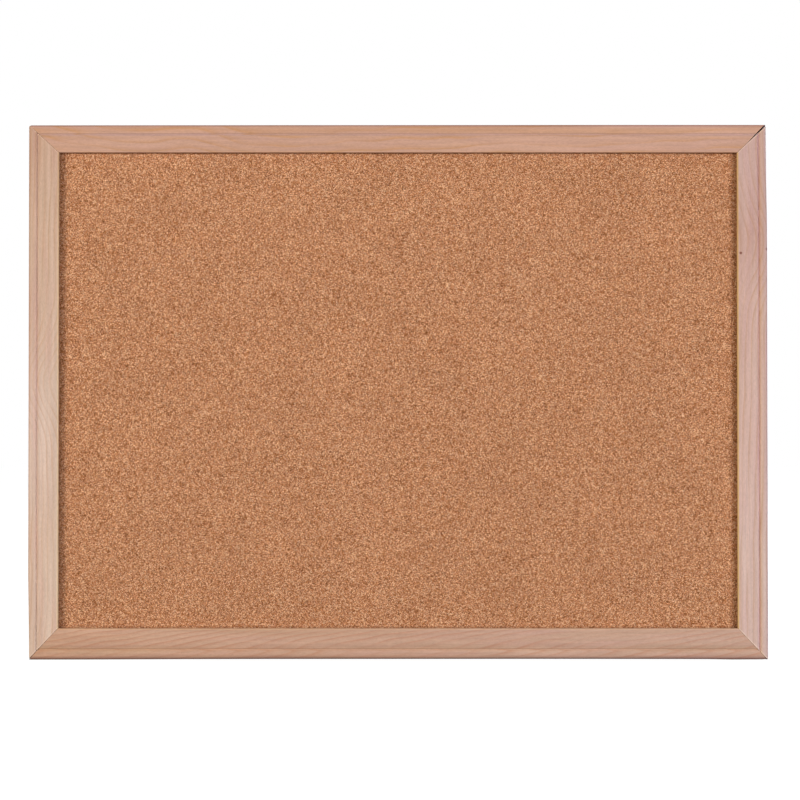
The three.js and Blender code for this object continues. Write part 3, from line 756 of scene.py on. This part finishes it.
cork = pressed_sheet("cork_sheet", cork_step, cork_relief)
add_piece("cork_sheet_granules", finish_mesh(cork, "cork_sheet", sharp_over=60),
          granulated_cork("granulated_cork"), "cork_sheet", "board")


# The softboard core
# A sheet of soft fibreboard behind the cork, which grips the pins. It is wood fibre felted wet and
# dried, so it is light, matt and a little woolly at its cut edges.

softboard_fibre_mm = 0.8
softboard_ease = 0.4 * mm


# Soft fibreboard: pale grey-brown, matt, with loose fibres lying every way.
def felted_fibreboard(name):
    material, add, place = new_material(name)
    fibres = add("TexNoise", {
        "Vector": place, "Scale": 1 / (softboard_fibre_mm * mm),
        "Detail": 5.0, "Roughness": 0.7, "Distortion": 1.5,
    })
    tint = add("Mix", {
        0: fibres, 6: linear_colour("947856"), 7: linear_colour("c3a883"),
    }, data_type="RGBA")
    shader = add("BsdfPrincipled", {
        "Base Color": tint,
        "Roughness": 0.95,
        "Normal": add("Bump", {"Height": fibres, "Strength": 0.6, "Distance": 0.3 * mm}),
    })
    add("OutputMaterial", {"Surface": shader})
    return material


add_piece("core_board_fibre", eased_copy("core_board", softboard_ease, 2, "core_board"),
          felted_fibreboard("felted_fibreboard"), "core_board", "board")


# The hardboard back
# A thin sheet of hardboard that stiffens the panel and closes it behind. It was pressed hot on a wire
# screen, whose weave shows on this side. The flat points over its edge hold the whole panel in.

screen_pitch_mm = 2.6
hardboard_fibre_mm = 1.6
clouds_per_mm = 0.02
hardboard_ease = 0.25 * mm

# A wave texture of scale 1 has this many bands a metre.
bands_per_metre = 20 / math.radians(360)


# Hardboard, screen side: dark brown, matt, with the fine net of the press screen and scattered fibres.
# The real net is about half as coarse, and is drawn wider so that it shows.
def screened_hardboard(name):
    material, add, place = new_material(name)
    fibres = add("TexNoise", {
        "Vector": place, "Scale": 1 / (hardboard_fibre_mm * mm),
        "Detail": 6.0, "Roughness": 0.75, "Distortion": 0.8,
    })
    clouds = add("TexNoise", {"Vector": place, "Scale": clouds_per_mm / mm, "Detail": 3.0})
    warp, weft = (
        add("TexWave", {
            "Vector": place, "Scale": 1 / (screen_pitch_mm * mm * bands_per_metre),
        }, bands_direction=direction).outputs["Fac"]
        for direction in ("X", "Z")
    )
    net = add("Math", {0: warp, 1: weft}, operation="MULTIPLY")
    tint = add("ValToRGB", {"Fac": fibres}, stops=[
        (0.25, linear_colour("553621")),
        (0.5, linear_colour("6f4a30")),
        (0.75, linear_colour("8d6445")),
    ])
    cloud = add("MapRange", {
        "Value": clouds, "From Min": 0.3, "From Max": 0.7, "To Min": 0.9, "To Max": 1.08,
    })
    pressed = add("MapRange", {"Value": net, "To Min": 1.04, "To Max": 0.88})
    shade = add("Math", {0: cloud, 1: pressed}, operation="MULTIPLY")
    height = add("Math", {0: fibres, 1: net}, operation="SUBTRACT")
    shader = add("BsdfPrincipled", {
        "Base Color": add("VectorMath", {0: tint, 3: shade}, operation="SCALE"),
        "Roughness": 0.72,
        "Normal": add("Bump", {"Height": height, "Strength": 0.4, "Distance": 0.12 * mm}),
    })
    add("OutputMaterial", {"Surface": shader})
    return material


add_piece("back_panel_hardboard", eased_copy("back_panel", hardboard_ease, 2, "back_panel"),
          screened_hardboard("screened_hardboard"), "back_panel", "board")


# The panel points
# Ten flat steel points, fired into the wall of the rebate so that their tails lie over the hardboard.
# They are stamped from strip, with rounded tails and slightly rounded edges.

for side, count in (("left", 2), ("top", 3), ("right", 2), ("bottom", 3)):
    for number in range(1, count + 1):
        node = f"panel_point_{side}_{number}"
        mesh = eased_copy(node, eased_steel, 2, node)
        add_piece(node + "_steel", mesh, bright_steel, node, "board")


# The hanger straps
# Strips of nickel-plated steel folded double round the bar of a ring, with a round lower end and a
# hole for the screw. One is fixed to the back of each stile.

plate_cloud_mm = 3
scratches_per_mm = 6
eased_strap = 0.12 * mm


# Nickel plate over steel: a warm bright metal, smooth, with faint hazy patches and hairline scratches.
def nickel_plate(name):
    material, add, place = new_material(name)
    haze = add("TexNoise", {
        "Vector": place, "Scale": 1 / (plate_cloud_mm * mm), "Detail": 4.0, "Roughness": 0.6,
    })
    tint = add("Mix", {
        0: haze, 6: linear_colour("c9c3b8"), 7: linear_colour("d9d5cc"),
    }, data_type="RGBA")
    hazy = add("MapRange", {
        "Value": haze, "From Min": 0.3, "From Max": 0.7, "To Min": 0.16, "To Max": 0.3,
    })
    scratches = add("TexNoise", {
        "Vector": place, "Scale": scratches_per_mm / mm, "Detail": 2.0, "Distortion": 3.0,
    })
    shader = add("BsdfPrincipled", {
        "Base Color": tint,
        "Metallic": 1.0,
        "Roughness": hazy,
        "Normal": add("Bump", {"Height": scratches, "Strength": 0.1, "Distance": 0.01 * mm}),
    })
    add("OutputMaterial", {"Surface": shader})
    return material


nickel = nickel_plate("nickel_plate")
for hand in ("left", "right"):
    node = f"{hand}_hanger_strap"
    add_piece(node + "_plate", eased_copy(node, eased_strap, 2, node), nickel,
              node, "board")


# The hanger rings
# Round steel wire bent to a D and plated with its strap. The wire's two ends nearly meet in the fold of
# the strap, where the ring swings. At rest each ring leans up against its stile, ready for the wall
# hook.

wire_across = 1.8 * mm
wire_bend = 1.4 * mm
wire_gap = 0.4 * mm
wire_sides = 20
foot_steps = 8
bow_steps = 32


def pull(bm, end, along):
    """Draws the wire on, straight, and returns its new end."""
    grown = bmesh.ops.extrude_face_region(bm, geom=end)["geom"]
    moved = [v for v in grown if isinstance(v, bmesh.types.BMVert)]
    bmesh.ops.translate(bm, verts=moved, vec=along)
    return [f for f in grown if isinstance(f, bmesh.types.BMFace)]


def bend(bm, end, centre, degrees, steps):
    """Bends the wire on about a centre, and returns its new end."""
    around = bmesh.ops.spin(bm, geom=end, cent=centre, axis=(0, -1, 0), dvec=(0, 0, 0),
                            angle=math.radians(degrees), steps=steps, use_duplicate=False)
    return [f for f in around["geom_last"] if isinstance(f, bmesh.types.BMFace)]


swings = {joint["child"]: joint for joint in frame["joints"]}
for hand in ("left", "right"):
    node = f"{hand}_hanger_ring"
    low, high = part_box(node)
    hinge = Vector(swings[f"{hand}_ring"]["pos_m"])
    half_width = (high.x - low.x - wire_across) / 2
    rise = high.z - wire_across / 2 - hinge.z
    lowest_back = low.y + wire_across / 2 - hinge.y
    lean = math.atan2(-lowest_back, rise)
    reach = math.hypot(rise, lowest_back)
    foot = half_width - wire_bend - wire_gap / 2
    leg = reach - half_width - wire_bend

    bm = bmesh.new()
    start = Matrix.Translation((wire_gap / 2, 0, 0)) @ Matrix.Rotation(math.radians(90), 4, "Y")
    bmesh.ops.create_circle(bm, cap_ends=True, segments=wire_sides, radius=wire_across / 2, matrix=start)
    end = pull(bm, bm.faces[:], (foot, 0, 0))
    end = bend(bm, end, (half_width - wire_bend, 0, wire_bend), 90, foot_steps)
    end = pull(bm, end, (0, 0, leg))
    end = bend(bm, end, (0, 0, reach - half_width), 180, bow_steps)
    end = pull(bm, end, (0, 0, -leg))
    end = bend(bm, end, (wire_bend - half_width, 0, wire_bend), 90, foot_steps)
    pull(bm, end, (foot, 0, 0))
    in_place = Matrix.Translation(hinge) @ Matrix.Rotation(lean, 4, "X")
    bmesh.ops.transform(bm, matrix=in_place, verts=bm.verts)
    mesh = finish_mesh(bm, node, sharp_over=50)
    add_piece(node + "_wire", mesh, nickel, node, f"{hand}_ring")


# The hanger screws
# Pan-head steel wood screws with a cross recess, one through each strap into the stile.

recess_arm = 1.9 * mm
recess_slot = 0.75 * mm
recess_depth = 1.3 * mm
head_height = 2 * mm
head_rim = 0.5 * mm
shank = 3 * mm
tip_length = 4 * mm
head_steps = 8
screw_sides = 40
cross_turn = 20


def turned_solid(node, outline, sides):
    """A solid turned about the middle of its node, from an outline of radii and places along the axis."""
    low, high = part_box(node)
    bm = bmesh.new()
    verts = [bm.verts.new((radius, along, 0)) for radius, along in outline]
    edges = [bm.edges.new(pair) for pair in zip(verts, verts[1:])]
    bmesh.ops.spin(bm, geom=verts + edges, cent=(0, 0, 0), axis=(0, 1, 0), dvec=(0, 0, 0),
                   angle=math.radians(360), steps=sides, use_merge=True, use_duplicate=False)
    bmesh.ops.remove_doubles(bm, verts=bm.verts, dist=hair)
    bmesh.ops.translate(bm, verts=bm.verts, vec=((low.x + high.x) / 2, 0, (low.z + high.z) / 2))
    return finish_mesh(bm, node, sharp_over=45)


for hand in ("left", "right"):
    node = f"{hand}_hanger_screw"
    low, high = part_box(node)
    head = (high.x - low.x) / 2
    seat = high.y - head_height
    outline = [(0, low.y), (shank / 2, low.y + tip_length), (shank / 2, seat), (head, seat)]
    for step in range(head_steps + 1):
        turn = math.radians(90) * step / head_steps
        outline.append((head * math.cos(turn), seat + head_rim + (head_height - head_rim) * math.sin(turn)))
    mesh = turned_solid(node, outline, screw_sides)
    piece = add_piece(node + "_head", mesh, bright_steel, node, "board")
    slots = []
    for degrees in (cross_turn, cross_turn + 90):
        cutter = bmesh.new()
        bmesh.ops.create_cube(cutter, size=1)
        shape = Matrix.Diagonal((2 * recess_arm, 2 * recess_depth, recess_slot, 1))
        turned = Matrix.Rotation(math.radians(degrees), 4, "Y")
        place = Matrix.Translation(((low.x + high.x) / 2, high.y, (low.z + high.z) / 2))
        bmesh.ops.transform(cutter, matrix=place @ turned @ shape, verts=cutter.verts)
        slots.append(finish_mesh(cutter, "recess"))
    cut_away(piece, slots)


# The bumpers
# Round pads of moulded dark rubber, stuck behind the bottom rail. They hold the board as far from the
# wall below as the rings do above, and keep it from sliding.

bumper_edge = 1.2 * mm
bumper_steps = 5
bumper_sides = 48
bloom_mm = 1.5
grit_per_mm = 8


# Moulded rubber: near black, matt, with a faint grey bloom and the fine grit of its mould.
def moulded_rubber(name):
    material, add, place = new_material(name)
    bloom = add("TexNoise", {"Vector": place, "Scale": 1 / (bloom_mm * mm), "Detail": 4.0})
    grit = add("TexNoise", {"Vector": place, "Scale": grit_per_mm / mm, "Detail": 2.0})
    tint = add("Mix", {
        0: bloom, 6: linear_colour("232325"), 7: linear_colour("38383b"),
    }, data_type="RGBA")
    shader = add("BsdfPrincipled", {
        "Base Color": tint,
        "Roughness": add("MapRange", {"Value": bloom, "To Min": 0.65, "To Max": 0.85}),
        "Normal": add("Bump", {"Height": grit, "Strength": 0.3, "Distance": 0.03 * mm}),
    })
    add("OutputMaterial", {"Surface": shader})
    return material


rubber = moulded_rubber("moulded_rubber")
for hand in ("left", "right"):
    node = f"{hand}_bumper"
    low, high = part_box(node)
    radius = (high.x - low.x) / 2
    outline = [(0, low.y), (radius, low.y)]
    for step in range(bumper_steps + 1):
        turn = math.radians(90) * step / bumper_steps
        outline.append((radius - bumper_edge * (1 - math.cos(turn)),
                        high.y - bumper_edge * (1 - math.sin(turn))))
    outline.append((0, high.y))
    mesh = turned_solid(node, outline, bumper_sides)
    add_piece(node + "_pad", mesh, rubber, node, "board")


# The studio
# The board stands on a white floor before a white ground, between a soft lamp at each side, as a flat
# thing is lit to be copied. Two more lamps behind light its back for the other views.

floor_size = 30
floor_drop = 0.02 * mm
ground_white = 0.2
ground_bounce = 0.04
lit_floor = 0.95
lit_from = 0.4
lit_to = 1.2
lamp_distance = 5.0
ambient = 0.003


def shown_white(add):
    """1 for a ray that sees the ground, straight, mirrored or through glass, and 0 for one that lights."""
    path = add("LightPath").outputs
    seen = add("Math", {0: path["Is Camera Ray"], 1: path["Is Glossy Ray"]}, operation="MAXIMUM")
    return add("Math", {0: seen, 1: path["Is Transmission Ray"]}, operation="MAXIMUM")


# White paper: it shows white, keeps the soft shadow near by, and is dark to bounced light, so that the
# board isn't lit from below.
def white_paper(name):
    material, add, place = new_material(name)
    dyed = add("MapRange", {
        "Value": add("LightPath").outputs["Is Camera Ray"], "To Min": ground_bounce, "To Max": ground_white,
    })
    away = add("VectorMath", {0: place}, operation="LENGTH")
    level = add("MapRange", {"Value": away, "From Min": lit_from, "From Max": lit_to, "To Min": lit_floor})
    lift = add("Math", {0: shown_white(add), 1: level}, operation="MULTIPLY")
    both = add("AddShader", {
        0: add("BsdfDiffuse", {"Color": dyed}),
        1: add("Emission", {"Strength": lift}),
    })
    add("OutputMaterial", {"Surface": both})
    return material


bm = bmesh.new()
bmesh.ops.create_grid(bm, x_segments=1, y_segments=1, size=floor_size / 2)
bmesh.ops.translate(bm, verts=bm.verts, vec=(0, 0, cad_box[0].z - floor_drop))
floor_mesh = bpy.data.meshes.new("floor")
bm.to_mesh(floor_mesh)
bm.free()
floor = bpy.data.objects.new("floor", floor_mesh)
floor_mesh.materials.append(white_paper("white_paper"))
bpy.context.scene.collection.objects.link(floor)

world = bpy.data.worlds.new("white_room")
world.use_nodes = True
world.node_tree.nodes.clear()
add = partial(add_node, world.node_tree)
level = add("MapRange", {"Value": shown_white(add), "To Min": ambient})
room = add("Background", {"Color": grey(1), "Strength": level})
add("OutputWorld", {"Surface": room})
bpy.context.scene.world = world

# Each lamp's bearing is measured from the straight view: minus to the left, and over 90 behind, where
# the lamps hang higher.
lamps = [
    {"name": "left_lamp", "bearing": -51, "height": 0.54, "size": 2.1, "tall": 1.2,
     "power": 211, "colour": "fffbf2"},
    {"name": "right_lamp", "bearing": 47, "height": 0.54, "size": 2.1, "tall": 1.2,
     "power": 194, "colour": "fbfaff"},
    {"name": "back_left_lamp", "bearing": -140, "height": 1.1, "size": 2.4, "tall": 1,
     "power": 145, "colour": "ffffff"},
    {"name": "back_right_lamp", "bearing": 140, "height": 1.1, "size": 2.4, "tall": 1,
     "power": 145, "colour": "ffffff"},
]
for lamp in lamps:
    light = bpy.data.lights.new(lamp["name"], "AREA")
    light.shape = "ELLIPSE"
    light.size = lamp["size"]
    light.size_y = lamp["tall"]
    light.energy = lamp["power"]
    light.color = linear_colour(lamp["colour"])[:3]
    turn = math.radians(lamp["bearing"])
    across = Vector((math.sin(turn), -math.cos(turn), 0)) * lamp_distance
    holder = bpy.data.objects.new(lamp["name"], light)
    holder.location = board_centre + across + Vector((0, 0, lamp["height"]))
    holder.rotation_euler = (board_centre - holder.location).to_track_quat("-Z", "Y").to_euler()
    bpy.context.scene.collection.objects.link(holder)

# The camera stands square before the board, a little below its middle, and looks very slightly up. A
# pixel is as much of the board as one pixel of the picture shows.
picture_side = 800
pixel = 0.7842 * mm
seen_width = picture_side * pixel
centre_in_picture = (397.97, 391.9)
camera_distance = 2.0
film_width_mm = 36
look_up = math.radians(0.93)
camera = bpy.data.objects.new("camera", bpy.data.cameras.new("camera"))
camera.data.sensor_width = film_width_mm
camera.data.lens = film_width_mm * camera_distance / seen_width
aim = board_centre + Vector(((picture_side / 2 - centre_in_picture[0]) * pixel, 0,
                             (centre_in_picture[1] - picture_side / 2) * pixel))
camera.location = aim + Vector((0, -math.cos(look_up), -math.sin(look_up))) * camera_distance
camera.rotation_euler = (math.radians(90) + look_up, 0, 0)
bpy.context.scene.collection.objects.link(camera)
bpy.context.scene.camera = camera
bpy.context.scene.view_settings.view_transform = "Standard"
